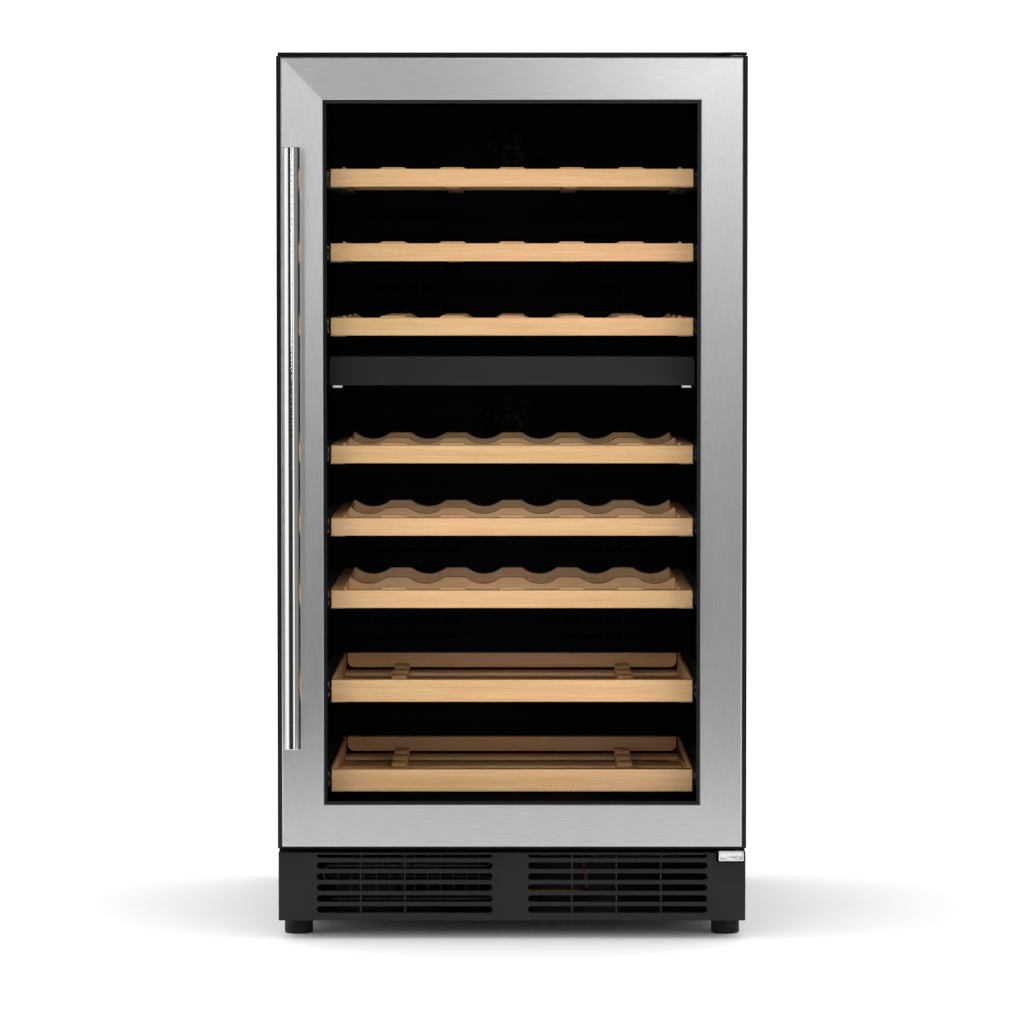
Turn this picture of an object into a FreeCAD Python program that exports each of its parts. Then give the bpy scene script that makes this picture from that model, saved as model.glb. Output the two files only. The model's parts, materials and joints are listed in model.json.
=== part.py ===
"""Two-zone free-standing wine cooler with a framed glass door, six beech shelves and two trays.

Millimetres. +Z is up, -Y is the front (door) and +X is the hinge side.
The origin is on the floor, under the centre of the overall box.
"""
import FreeCAD
import Part
import math
import os

V = FreeCAD.Vector

# ---------------------------------------------------------------- overall sizes
cabinet_width = 598.0
cabinet_height = 1134.0
depth_behind_door_face = 684.0
foot_height = 24.6
plinth_height = 87.4
door_thickness = 42.0
gasket_gap = 8.0

# ---------------------------------------------------------------- shells and walls
sheet = 0.8
liner_wall = 1.5
side_wall = 49.0
ceiling_wall = 48.0
rear_wall = 64.0
rear_recess = 2.5
floor_wall = 40.0
face_strip = 2.0
top_cover_sheet = 1.0
top_skirt = 6.0
base_sheet = 2.0

# ---------------------------------------------------------------- machine bay
bay_wall = 35.0
bay_clearance = 7.0
bay_headroom = 26.4
step_wall = 43.5
under_floor_clearance = 2.4

# ---------------------------------------------------------------- door
side_lip = 5.1
end_lip = 1.5
steel_bar = 54.2
steel_sheet = 0.8
steel_return = 5.0
steel_inner_return = 1.4
glass_thickness = 4.0
glass_recess = 2.6
glass_gap = 16.0
glass_edge = 10.0
bead_width = 4.5
bead_front = 0.5
spacer_width = 9.0
core_rear_opening = 1.0
door_gap_top = 6.8
door_gap_bottom = 8.6
gasket_width = 22.0
gasket_overlap = 12.0
gasket_fold = 3.0
lip_setback = 0.6

# ---------------------------------------------------------------- handle
handle_diameter = 21.3
handle_standoff = 45.35
handle_edge = 22.0
handle_rim = 0.8
handle_bottom_above_door = 131.2
handle_top_below_door = 116.4
handle_post_diameter = 14.0
handle_post_inset = 60.0
handle_wall = 1.5
handle_screw_diameter = 5.0
handle_screw_engagement = 15.0
handle_screw_seat = 10.0

# ---------------------------------------------------------------- hinges
hinge_edge = 14.0
hinge_depth = 28.0
pin_diameter = 8.0
pin_length = 13.0
bush_diameter = 14.0
bush_length = 15.0
bush_flange = 1.2
arm_inset = 34.7
plate_cutback = 10.4
plate_length = 60.0
foot_plate_length = 30.0
top_arm = 3.0
bottom_arm = 13.0
foot_plate_top = 3.2
foot_plate_front = 11.0
foot_plate_notch = 2.8
foot_plate_edge = 2.8
cap_thickness = 1.5
cap_border = 2.2
cap_recess = 0.4

# ---------------------------------------------------------------- wood and runners
shelf_side_gap = 17.6
shelf_rear_gap = 11.0
shelf_setback = 15.0
rail_height = 22.9
rail_thickness = 18.0
side_bar = 15.0
cradle_bar = 15.0
cradle_count = 3
cradle_base = 4.0
cradle_rise = 2.5
batten_width = 20.0
bottle_pitch = 76.4
bottle_radius = 38.0
scallop_width = 48.0
tray_height = 28.6
tray_side = 4.0
tray_back_gap = 1.7
tray_back_lift = 4.0
tray_back_corner = 9.0
tray_slat = 5.0
tray_slat_width = 60.0
tray_slat_count = 4
tray_slat_gap = 20.0
tray_cradle_offset = 150.0
tray_cradle_width = 20.0
tray_cradle_height = 13.0
tray_cradle_web = 5.0
tray_bottle_gap = 6.0
wood_rounding = 1.5
runner_sheet = 1.2
runner_web_height = 16.0
runner_setback = 40.0
runner_flange = 18.0
runner_flange_setback = 8.0
tongue_height = 5.0
tongue_reach = 12.0
rail_sheet = 1.2
rail_channel_height = 17.0
running_gap = 0.6
rail_side_gap = 2.0
rail_front_reach = 20.0
rail_rear_reach = 3.0

# ---------------------------------------------------------------- heights of the layers
tray_clearance = 21.0
bar_height = 37.1
bar_clearance = 26.6
lower_layers = [115.9, 121.0, 93.1, 93.1, 100.1]
upper_layers = [95.2, 95.2, 122.7]

# ---------------------------------------------------------------- control bar and divider
bar_side_gap = 16.0
bar_setback = 12.0
bar_depth = 30.0
bar_wall = 2.5
divider_thickness = 26.0
board_thickness = 1.6
light_length = 12.0
light_depth = 22.0
light_thickness = 3.0
light_inset = 4.0
bar_light_setback = 2.0
ceiling_light_setback = 20.0
board_margin = 84.0
board_standoff = 4.0
board_edge_gap = 1.5
chip_size = 24.0
chip_height = 6.0

# ---------------------------------------------------------------- ducts, fans, evaporators
duct_gap = 15.0
duct_sheet = 2.0
duct_side_gap = 4.0
duct_slot_height = 6.0
duct_slot_pitch = 24.0
duct_slot_length = 120.0
duct_slot_offset = 130.0
duct_slot_margin = 20.0
fan_radius = 42.0
fan_hub_radius = 16.0
fan_frame_side = 96.0
fan_depth = 22.0
fan_blades = 7
fan_tip_gap = 1.5
fan_drop = 70.0
fan_motor_length = 4.0
fan_strut_width = 4.0
fan_strut_depth = 3.0
fan_blade_thickness = 1.4
fan_blade_chord = 26.0
fan_blade_angle = 62.0
grille_rings = 3
grille_ring_pitch = 12.0
grille_ring_width = 6.0
grille_spoke = 4.0
fan_shaft_radius = 2.0
shaft_gap = 0.05
tube_radius = 4.0
fin_thickness = 0.6
fin_count = 12

# ---------------------------------------------------------------- compressor bay parts
compressor_width = 150.0
compressor_depth = 104.0
compressor_height = 138.0
compressor_foot = 12.0
can_wall = 3.0
pump_radius = 36.0
pump_height = 84.0
drip_tray_height = 12.0
drip_tray_wall = 1.5
drip_tray_inset = 11.5
compressor_x = -60.0
seam_flange = 2.0
coil_pitch = 25.0
coil_margin = 80.0
condenser_pitch = 22.0
condenser_rows = 4
condenser_setback = 80.0
condenser_bank_gap = 60.0
condenser_fan_x = -110.0
condenser_fan_setback = 280.0
condenser_edge_gap = 15.0
pipe_radius = 3.0
pipe_setback = 210.0
pipe_bend = 12.0
inlet_width = 27.5
inlet_height = 20.0
inlet_depth = 22.0
inlet_from_side = 84.0
inlet_above_base = 60.0
inlet_recess = 0.4
socket_wall = 4.0
blade_width = 2.0
blade_height = 4.0
blade_spacing = 14.0
blade_setback = 5.0
louvre_margin = 40.0
louvre_pitch = 20.0
louvre_gap = 30.0
louvre_length = 110.0
louvre_height = 5.0

# ---------------------------------------------------------------- plinth grille
plinth_projection = 25.0
plinth_wall = 2.5
slot_pitch = 14.1
slot_height = 8.5
slot_first = 10.0
slot_inner_left = -24.8
slot_inner_right = 20.6
slot_side_margin = 49.0
slot_rib = 2.0
slot_rib_pitch = 57.0
slot_rib_depth = 8.0
plinth_rounding = 2.0
notch_rounding = 3.0

# ---------------------------------------------------------------- feet and small parts
foot_diameter = 36.6
foot_inset = 23.0
front_foot_depth = 95.0
rear_foot_inset = 60.0
foot_stud_diameter = 10.0
foot_stud_length = 38.0
foot_nut_height = 10.0
foot_nut_across = 17.0
foot_rim = 2.5
screw_head = 8.0
screw_head_height = 4.0
screw_inset = 20.0
screw_clearance = 0.4
fit_gap = 0.05
part_gap = 0.3

# ---------------------------------------------------------------- planes worked out from the sizes
handle_reach = handle_standoff + handle_diameter / 2
y_door = (handle_reach - depth_behind_door_face) / 2
y_back = y_door + depth_behind_door_face
y_door_rear = y_door + door_thickness
y_face = y_door_rear + gasket_gap
x_side = cabinet_width / 2
x_liner = x_side - side_wall
z_pan = foot_height + base_sheet
z_floor_foam = z_pan + fan_frame_side + under_floor_clearance
floor_height = z_floor_foam + floor_wall
bay_depth = compressor_depth + 2 * bay_clearance
z_compressor = z_pan + compressor_foot
bay_ceiling = z_compressor + compressor_height + drip_tray_height + bay_headroom
step_height = bay_ceiling + step_wall
shelf_width = 2 * (x_liner - shelf_side_gap)
bar_width = 2 * (x_liner - bar_side_gap)
slot_outer = x_side - slot_side_margin
z_liner_top = cabinet_height - ceiling_wall
z_plinth_top = foot_height + plinth_height
z_door_bottom = z_plinth_top + door_gap_bottom
z_door_top = cabinet_height - door_gap_top
x_door = x_side - 0.5
y_liner_back = y_back - rear_wall
y_bay = y_back - bay_depth
y_step = y_bay - bay_wall
y_shelf = y_face + shelf_setback
y_shelf_back = y_step - shelf_rear_gap
shelf_depth = y_shelf_back - y_shelf
y_duct = y_shelf_back + duct_gap
y_bar = y_face + bar_setback
x_steel = x_door - side_lip
z_steel_bottom = z_door_bottom + end_lip
z_steel_top = z_door_top - end_lip
x_opening = x_steel - steel_bar
z_opening_bottom = z_steel_bottom + steel_bar
z_opening_top = z_steel_top - steel_bar
x_hinge = x_side - hinge_edge
y_hinge = y_door + hinge_depth

free_height = (z_liner_top - floor_height - tray_clearance - bar_height - bar_clearance)
layer_stretch = free_height / (sum(lower_layers) + sum(upper_layers))
z_trays = [floor_height + tray_clearance]
z_trays.append(z_trays[0] + lower_layers[0] * layer_stretch)
z_lower_shelves = [z_trays[1] + lower_layers[1] * layer_stretch]
for layer in lower_layers[2:4]:
    z_lower_shelves.append(z_lower_shelves[-1] + layer * layer_stretch)
z_bar = z_lower_shelves[-1] + lower_layers[4] * layer_stretch
z_upper_shelves = [z_bar + bar_height + bar_clearance]
for layer in upper_layers[:2]:
    z_upper_shelves.append(z_upper_shelves[-1] + layer * layer_stretch)
z_shelves = z_upper_shelves[::-1] + z_lower_shelves[::-1]
z_trays = z_trays[::-1]
z_divider = z_bar + (bar_height - divider_thickness) / 2


# ---------------------------------------------------------------- small shape helpers
def box(x0, x1, y0, y1, z0, z1):
    """A block between two corners."""
    return Part.makeBox(x1 - x0, y1 - y0, z1 - z0, V(x0, y0, z0))


def cylinder(radius, length, base, direction=(0, 0, 1)):
    return Part.makeCylinder(radius, length, V(*base), V(*direction))


def group(shapes):
    """Separate solids that share one node."""
    return Part.makeCompound([solid for shape in shapes for solid in shape.Solids])


def fused(shapes):
    """One solid made of touching or overlapping shapes."""
    result = shapes[0]
    for shape in shapes[1:]:
        result = result.fuse(shape)
    return result.removeSplitter()


def mirrored(shape):
    """The same shape on the other side of the centre plane."""
    return shape.mirror(V(0, 0, 0), V(1, 0, 0))


def prism(points, direction):
    """A closed outline pushed along a direction."""
    wire = Part.makePolygon([V(*p) for p in points] + [V(*points[0])])
    return Part.Face(wire).extrude(V(*direction))


def edges_along(shape, axis, test):
    """Straight edges parallel to an axis whose middle point passes the test."""
    found = []
    for edge in shape.Edges:
        if edge.Curve.TypeId != "Part::GeomLine":
            continue
        if abs(abs(edge.tangentAt(edge.FirstParameter).dot(V(*axis))) - 1) < 1e-6:
            if test(edge.CenterOfMass):
                found.append(edge)
    return found


def rounded_slot(x0, x1, y0, y1, z_mid, height):
    """A long cutter with half-round ends, right through in Y."""
    radius = height / 2
    body = box(x0 + radius, x1 - radius, y0, y1, z_mid - radius, z_mid + radius)
    ends = [cylinder(radius, y1 - y0, (x, y0, z_mid), (0, 1, 0)) for x in (x0 + radius, x1 - radius)]
    return fused([body] + ends)


def mitred_ring(x_half, z0, z1, outline):
    """Four bars round a rectangle, cut at 45 degrees where they meet.

    outline holds (inset, y) points: how far in from the rectangle's edge, and the depth.
    """
    width = max(inset for inset, y in outline)
    reach = width + 1.0
    bars = []
    for side in (-1, 1):
        points = [(side * (x_half - inset), y, z0) for inset, y in outline]
        stile = prism(points, (0, 0, z1 - z0))
        for z, way in ((z0, 1), (z1, -1)):
            corner = V(side * x_half, 0, z)
            wedge = [corner, corner + V(-side * reach, 0, way * reach), corner + V(-side * reach, 0, 0)]
            wedge = [(p.x, y_door - 100, p.z) for p in wedge]
            stile = stile.cut(prism(wedge, (0, depth_behind_door_face, 0)))
        bars.append(stile)
    for z, way in ((z0, 1), (z1, -1)):
        points = [(-x_half, y, z + way * inset) for inset, y in outline]
        rail = prism(points, (2 * x_half, 0, 0))
        for side in (-1, 1):
            corner = V(side * x_half, 0, z)
            wedge = [corner, corner + V(-side * reach, 0, way * reach), corner + V(0, 0, way * reach)]
            wedge = [(p.x, y_door - 100, p.z) for p in wedge]
            rail = rail.cut(prism(wedge, (0, depth_behind_door_face, 0)))
        bars.append(rail)
    return bars


def serpentine(x0, x1, y, z0, rows, pitch, radius, fins, y_fixed=None, z_fixed=None):
    """A flat serpentine tube in the XZ plane with thin plates brazed across its runs.

    The two end plates reach y_fixed or z_fixed, where the coil is held.
    """
    runs, plates = [], []
    fin_reach = 2.6 * radius
    for row in range(rows):
        z = z0 + row * pitch
        runs.append(cylinder(radius, x1 - x0, (x0, y, z), (1, 0, 0)))
        if row < rows - 1:
            x = x1 if row % 2 == 0 else x0
            bend = Part.makeTorus(pitch / 2, radius, V(x, y, z + pitch / 2), V(0, 1, 0))
            half = box(x, x + pitch, y - pitch, y + pitch, z - pitch, z + 2 * pitch)
            if row % 2:
                half = box(x - pitch, x, y - pitch, y + pitch, z - pitch, z + 2 * pitch)
            runs.append(bend.common(half))
    for i in range(fins):
        x = x0 + (i + 0.5) * (x1 - x0) / fins
        low, high = z0 - 1.6 * radius, z0 + (rows - 1) * pitch + 1.6 * radius
        half = fin_thickness / 2
        rear = y + fin_reach
        if i in (0, fins - 1):
            rear = y_fixed or rear
            low = z_fixed or low
        plates.append(box(x - half, x + half, y - fin_reach, rear, low, high))
    coil = runs[0].multiFuse(runs[1:])
    for plate in plates:
        coil = coil.fuse(plate)
    return coil


# ---------------------------------------------------------------- cabinet shell
z_cover_under = cabinet_height - top_cover_sheet
z_skirt = cabinet_height - top_skirt
x_foam = x_side - sheet
y_foam_front = y_face + face_strip
y_panel = y_back - rear_recess - sheet
y_skin = y_panel + sheet
z_hinge_plate = z_cover_under - top_arm - part_gap
z_foot_plate = z_plinth_top + foot_plate_top - bottom_arm
x_arm = x_side - arm_inset


def side_panel():
    """Painted steel side with a narrow folded edge behind the face frame."""
    return box(-x_side, -x_foam, y_face, y_back, foot_height, z_skirt)


def top_cover():
    """Pressed steel lid with a shallow skirt, cut back over the hinge plate."""
    outer = box(-x_side, x_side, y_face, y_back, z_skirt, cabinet_height)
    inner = box(-x_foam, x_foam, y_foam_front, y_skin, z_skirt, z_cover_under)
    plate_room = box(x_side - plate_cutback, x_side, y_face, y_face + plate_length, z_skirt, cabinet_height)
    arm_slot = box(x_arm - part_gap, x_side, y_face - 1, y_foam_front + 1,
                   z_hinge_plate - part_gap, z_cover_under)
    return outer.cut(inner).cut(plate_room).cut(arm_slot)


def back_panel():
    return box(-x_foam, x_foam, y_panel, y_skin, bay_ceiling, z_cover_under)


def base_pan():
    """Folded steel floor of the bay with four weld nuts for the feet."""
    pan = box(-x_foam, x_foam, y_foam_front, y_panel, foot_height, z_pan)
    flange = [box(-x_foam, -x_foam + base_sheet, y_foam_front, y_panel, foot_height, foot_height + 20)]
    flange.append(mirrored(flange[0]))
    nuts = []
    for x, y in foot_places():
        nuts.append(cylinder(foot_nut_across / 2, foot_nut_height, (x, y, z_pan)))
    body = fused([pan] + flange + nuts)
    for x, y in foot_places():
        body = body.cut(cylinder(foot_stud_diameter / 2 + fit_gap, foot_stud_length, (x, y, foot_height)))
    return body


def foot_places():
    """Centres of the four levelling feet."""
    x = x_side - foot_inset
    front, rear = y_door + front_foot_depth, y_back - rear_foot_inset
    return [(-x, front), (x, front), (-x, rear), (x, rear)]


def levelling_foot(x, y):
    """Moulded pad on a threaded stud; it screws out downwards."""
    pad = cylinder(foot_diameter / 2, foot_height, (x, y, 0))
    rims = [e for e in pad.Edges if e.Curve.TypeId == "Part::GeomCircle" and e.CenterOfMass.z < 1]
    pad = pad.makeFillet(foot_rim, rims)
    stud = cylinder(foot_stud_diameter / 2, foot_stud_length, (x, y, foot_height))
    return fused([pad, stud])


def wall_foam():
    """Poured foam between liner and skins, as one block per wall."""
    xl, yl = x_liner + liner_wall, y_liner_back + liner_wall
    zt, zf = z_liner_top + liner_wall, floor_height - liner_wall
    side_front = box(-x_foam, -xl, y_foam_front, y_bay, z_floor_foam, z_cover_under)
    side_rear = box(-x_foam, -xl, y_bay, y_panel, bay_ceiling, z_cover_under)
    room = box(x_arm - part_gap, x_side, y_foam_front, y_face + plate_length + 1, z_hinge_plate - part_gap,
               cabinet_height)
    blocks = [side_front, side_rear, mirrored(side_front).cut(room), mirrored(side_rear)]
    blocks.append(box(-xl, xl, y_foam_front, y_panel, zt, z_cover_under).cut(room))
    blocks.append(box(-xl, xl, yl, y_panel, step_height, zt))
    blocks.append(box(-xl, xl, y_foam_front, y_bay, z_floor_foam, zf))
    blocks.append(box(-xl, xl, y_step + liner_wall, y_bay, zf, bay_ceiling))
    blocks.append(box(-xl, xl, y_step + liner_wall, y_panel, bay_ceiling, step_height - liner_wall))
    blocks.append(box(-xl, xl, yl, y_panel, step_height - liner_wall, step_height))
    skirt = box(-x_side, x_side, y_face, y_back, z_skirt, cabinet_height).cut(
        box(-x_foam, x_foam, y_foam_front, y_skin, z_skirt, z_cover_under))
    return group([block.cut(skirt) for block in blocks])


def inner_liner():
    """Vacuum-formed black liner, open at the front, stepped over the machine bay."""
    w = liner_wall
    outer = box(-x_liner - w, x_liner + w, y_face, y_liner_back + w, floor_height - w, z_liner_top + w)
    inner = box(-x_liner, x_liner, y_face - 1, y_liner_back, floor_height, z_liner_top)
    step_outer = box(-x_liner - w, x_liner + w, y_step + w, y_back, floor_height - w, step_height - w)
    step_inner = box(-x_liner - w, x_liner + w, y_step, y_back, floor_height - w, step_height)
    return outer.cut(step_outer).cut(inner.cut(step_inner))


def face_frame():
    """Steel strip round the front opening that the magnetic gasket grips."""
    xl, zt, zb = x_liner + liner_wall, z_liner_top + liner_wall, floor_height - liner_wall
    top = box(-x_foam, x_foam, y_face, y_foam_front, zt, z_skirt)
    bottom = box(-x_foam, x_foam, y_face, y_foam_front, z_plinth_top, zb)
    left = box(-x_foam, -xl, y_face, y_foam_front, zb, zt)
    frame = [top, bottom, left, mirrored(left)]
    foot_arm = box(x_arm - part_gap, x_side, y_face - 1, y_foam_front + 1,
                   z_foot_plate - 1, z_foot_plate + bottom_arm + part_gap)
    return group([strip.cut(foot_arm) for strip in frame])


# ---------------------------------------------------------------- divider, control bar, lights
def zone_divider():
    """Insulated floor between the two temperature zones."""
    return box(-x_liner, x_liner, y_bar + bar_depth, y_liner_back, z_divider, z_divider + divider_thickness)


def control_panel():
    """Plain fascia with touch sensors behind it, open at the rear."""
    x = bar_width / 2
    outer = box(-x, x, y_bar, y_bar + bar_depth, z_bar, z_bar + bar_height)
    front = edges_along(outer, (1, 0, 0), lambda c: c.y < y_bar + 1)
    outer = outer.makeFillet(1.5, front)
    inner = box(-x + bar_wall, x - bar_wall, y_bar + bar_wall, y_bar + bar_depth,
                z_bar + bar_wall, z_bar + bar_height - bar_wall)
    return outer.cut(inner)


def control_board():
    """Touch and power board on four standoffs inside the fascia, with its main parts."""
    y = y_bar + bar_wall + board_standoff
    x_board = bar_width / 2 - board_margin
    z0, z1 = z_bar + bar_wall + board_edge_gap, z_bar + bar_height - bar_wall - board_edge_gap
    pieces = [box(-x_board, x_board, y, y + board_thickness, z0, z1)]
    for x in (-x_board + 10, x_board - 10):
        for z in (z0 + 4, z1 - 4):
            pieces.append(cylinder(2.5, board_standoff, (x, y_bar + bar_wall, z), (0, 1, 0)))
    y += board_thickness
    for x in (-x_board * 0.4, 0, x_board * 0.4):
        pieces.append(box(x - chip_size / 2, x + chip_size / 2, y, y + chip_height, z0 + 8, z1 - 8))
    return fused(pieces)


def interior_lights():
    """Light modules: one pair under the control bar, one pair under the ceiling."""
    lamps = []
    x = -bar_width / 2 + light_inset
    for z_top, y in ((z_bar, y_bar + bar_light_setback), (z_liner_top, y_face + ceiling_light_setback)):
        lamp = box(x, x + light_length, y, y + light_depth, z_top - light_thickness, z_top)
        low = edges_along(lamp, (1, 0, 0), lambda c: c.z < z_top - 1)
        lamp = lamp.makeFillet(0.8, low)
        lamps += [lamp, mirrored(lamp)]
    return group(lamps)


# ---------------------------------------------------------------- ducts, fans and evaporators
def zone_spans():
    """Lower and upper limits of the rear duct in each zone."""
    return [(z_divider + divider_thickness, z_liner_top), (step_height, z_divider)]


def fan_centres():
    """Hub centres: one circulating fan per zone, one on the condenser."""
    upper, lower = zone_spans()
    y = y_duct + duct_sheet
    z_under = z_pan + fan_frame_side / 2
    return [(0, y, upper[1] - fan_drop), (0, y, lower[1] - fan_drop),
            (condenser_fan_x, y_face + condenser_fan_setback, z_under)]


def duct_covers():
    """Rear air panels with outlet slots and a round grille in front of each fan."""
    covers = []
    for (z0, z1), centre in zip(zone_spans(), fan_centres()):
        x = x_liner - duct_side_gap
        outer = box(-x, x, y_duct, y_liner_back, z0 + 1, z1 - 1)
        inner = box(-x + duct_sheet, x - duct_sheet, y_duct + duct_sheet, y_liner_back, z0, z1)
        cover = outer.cut(inner)
        cuts = []
        z = z0 + duct_slot_margin
        while z < centre[2] - fan_frame_side / 2 - duct_slot_margin:
            for sx in (-1, 1):
                x0 = sx * duct_slot_offset - duct_slot_length / 2
                cuts.append(rounded_slot(x0, x0 + duct_slot_length, y_duct - 1, y_duct + duct_sheet + 1,
                                         z, duct_slot_height))
            z += duct_slot_pitch
        cx, cy, cz = centre
        for ring in range(1, grille_rings + 1):
            radius = ring * grille_ring_pitch
            band = cylinder(radius + grille_ring_width / 2, 4, (cx, y_duct - 1, cz), (0, 1, 0))
            band = band.cut(cylinder(radius - grille_ring_width / 2, 4, (cx, y_duct - 1, cz), (0, 1, 0)))
            for spoke in range(3):
                bar = box(cx - grille_spoke / 2, cx + grille_spoke / 2, y_duct - 1, y_duct + 3,
                          cz - fan_radius - 10, cz + fan_radius + 10)
                bar.rotate(V(cx, cy, cz), V(0, 1, 0), 60 * spoke)
                band = band.cut(bar)
            cuts.append(band)
        covers.append(cover.cut(Part.makeCompound(cuts)))
    return group(covers)


def fan_shroud(centre):
    """Square frame with a round tunnel, three struts, a motor cup and the shaft."""
    x, y, z = centre
    half = fan_frame_side / 2
    frame = box(x - half, x + half, y, y + fan_depth, z - half, z + half)
    corners = edges_along(frame, (0, 1, 0), lambda c: True)
    frame = frame.makeFillet(5, corners)
    tunnel = cylinder(fan_radius + fan_tip_gap, fan_depth + 2, (x, y - 1, z), (0, 1, 0))
    frame = frame.cut(tunnel)
    y_motor = y + fan_depth - fan_motor_length
    pieces = [frame, cylinder(fan_hub_radius, fan_motor_length, (x, y_motor, z), (0, 1, 0))]
    for strut in range(3):
        arm = box(x - fan_strut_width / 2, x + fan_strut_width / 2, y + fan_depth - fan_strut_depth,
                  y + fan_depth, z, z + fan_radius + fan_tip_gap + 1)
        arm.rotate(V(x, y, z), V(0, 1, 0), 30 + 120 * strut)
        pieces.append(arm)
    pieces.append(cylinder(fan_shaft_radius, y_motor - y - 4, (x, y + 4, z), (0, 1, 0)))
    return fused(pieces)


def fan_rotor(centre):
    """Hub and seven pitched blades that spin on the shroud's shaft."""
    x, y, z = centre
    start, length = y + 3, fan_depth - fan_motor_length - 4
    hub = cylinder(fan_hub_radius, length, (x, start, z), (0, 1, 0))
    blades = [hub]
    for i in range(fan_blades):
        blade = box(fan_hub_radius - 1.5, fan_radius, -fan_blade_thickness / 2, fan_blade_thickness / 2,
                    -fan_blade_chord / 2, fan_blade_chord / 2)
        blade.rotate(V(0, 0, 0), V(1, 0, 0), fan_blade_angle)
        blade.translate(V(0, start + length / 2, 0))
        blade.rotate(V(0, 0, 0), V(0, 1, 0), i * 360 / fan_blades)
        blade.translate(V(x, 0, z))
        blades.append(blade)
    rotor = fused(blades)
    limit = cylinder(fan_radius, length, (x, start, z), (0, 1, 0))
    bore = cylinder(fan_shaft_radius + shaft_gap, fan_depth, (x, y + 4 - 0.2, z), (0, 1, 0))
    return rotor.common(limit).cut(bore)


def evaporators():
    """One finned coil behind each duct cover."""
    coils = []
    for (z0, z1), centre in zip(zone_spans(), fan_centres()):
        y = (y_duct + duct_sheet + y_liner_back) / 2 + 14
        low = z0 + 30
        rows = int((centre[2] - fan_frame_side / 2 - coil_pitch - low) // coil_pitch)
        half = x_liner - coil_margin
        coils.append(serpentine(-half, half, y, low, rows, coil_pitch, tube_radius, fin_count,
                                y_fixed=y_liner_back))
    return group(coils)


# ---------------------------------------------------------------- machine bay
def compressor():
    """Hermetic compressor: welded oval can on a foot plate with rubber-mounted studs."""
    x, y, z = compressor_place()
    half_w, half_d = compressor_width / 2, compressor_depth / 2
    can = oval_can(x, y, z, 0).cut(oval_can(x, y, z, can_wall))
    pump = cylinder(pump_radius, pump_height, (x, y, z + can_wall))
    seam_w, seam_d = half_w + seam_flange, half_d + seam_flange
    seam = box(x - seam_w, x + seam_w, y - seam_d, y + seam_d, z + 62, z + 68)
    seam = seam.makeFillet(half_d - 4, edges_along(seam, (0, 0, 1), lambda c: True))
    plate = box(x - half_w - 14, x + half_w + 14, y - 34, y + 34, z - 3, z)
    feet = []
    for sx in (-1, 1):
        for sy in (-1, 1):
            feet.append(cylinder(8, compressor_foot - 3, (x + sx * (half_w + 5), y + sy * 24, z_pan)))
    terminal = box(x + half_w - 8, x + half_w + 16, y - 20, y + 20, z + 20, z + 58)
    hollow = oval_can(x, y, z, can_wall)
    return group([fused([can, seam, plate, terminal]).cut(hollow), pump] + feet)


def compressor_place():
    """Centre of the compressor's foot plate, on its rubber feet."""
    return compressor_x, y_bay + (bay_depth - rear_recess - sheet) / 2, z_compressor


def oval_can(x, y, z, inset):
    """Rounded can of the compressor, or its hollow when inset by the wall."""
    half_w, half_d = compressor_width / 2 - inset, compressor_depth / 2 - inset
    top = z + compressor_height - inset
    can = box(x - half_w, x + half_w, y - half_d, y + half_d, z + inset, top)
    can = can.makeFillet(half_d - 6, edges_along(can, (0, 0, 1), lambda c: True))
    rims = [e for e in can.Edges if abs(e.CenterOfMass.z - top) < 0.5]
    return can.makeFillet(24, rims)


def condenser():
    """Tube-and-plate condenser behind the left half of the plinth grille."""
    banks = []
    x0, x1 = -x_liner + condenser_edge_gap, slot_inner_left - 10
    for bank in range(2):
        y = y_face + condenser_setback + bank * condenser_bank_gap
        banks.append(serpentine(x0, x1, y, z_pan + 3 * tube_radius, condenser_rows, condenser_pitch,
                                tube_radius, fin_count, z_fixed=z_pan))
    return group(banks)


def refrigerant_pipes():
    """Copper suction and discharge lines between compressor, condenser and evaporators."""
    x, y, z = compressor_place()
    x_port = x + compressor_width / 2 + 20
    y_turn, z_low = y_face + pipe_setback, z_pan + 2 * pipe_radius
    suction = pipe([(x_port, y, z + 90), (x_port + 35, y, z + 90), (x_port + 35, y, bay_ceiling - 2)],
                   pipe_radius, pipe_bend)
    discharge = pipe([(x_port, y, z + 72), (x_port + 65, y, z + 72), (x_port + 65, y, z_low),
                      (x_port + 65, y_turn, z_low), (x_port - 60, y_turn, z_low)], pipe_radius, pipe_bend)
    return group([suction, discharge])


def pipe(points, radius, bend):
    """A round tube: straight runs joined by tangent arcs of one bend radius."""
    points = [V(*p) for p in points]
    edges, last = [], points[0]
    for before, corner, after in zip(points, points[1:], points[2:]):
        into, out = (corner - before).normalize(), (after - corner).normalize()
        start, end = corner - into * bend, corner + out * bend
        middle = corner + (out - into).normalize() * (bend * (math.sqrt(2) - 1))
        edges += [Part.LineSegment(last, start).toShape(), Part.Arc(start, middle, end).toShape()]
        last = end
    edges.append(Part.LineSegment(last, points[-1]).toShape())
    path = Part.Wire(edges)
    first = (points[1] - points[0]).normalize()
    ring = Part.Wire(Part.Circle(points[0], first, radius).toShape())
    return path.makePipeShell([ring], True, False)


def drip_tray():
    """Shallow pan on the compressor's warm top that boils off the condensate."""
    x, y, z = compressor_place()
    z += compressor_height
    half_w, half_d = compressor_width / 2 - drip_tray_inset, compressor_depth / 2 - drip_tray_inset
    outer = box(x - half_w, x + half_w, y - half_d, y + half_d, z, z + drip_tray_height)
    half_w, half_d = half_w - drip_tray_wall, half_d - drip_tray_wall
    inner = box(x - half_w, x + half_w, y - half_d, y + half_d, z + drip_tray_wall, z + drip_tray_height)
    return outer.cut(inner)


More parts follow.
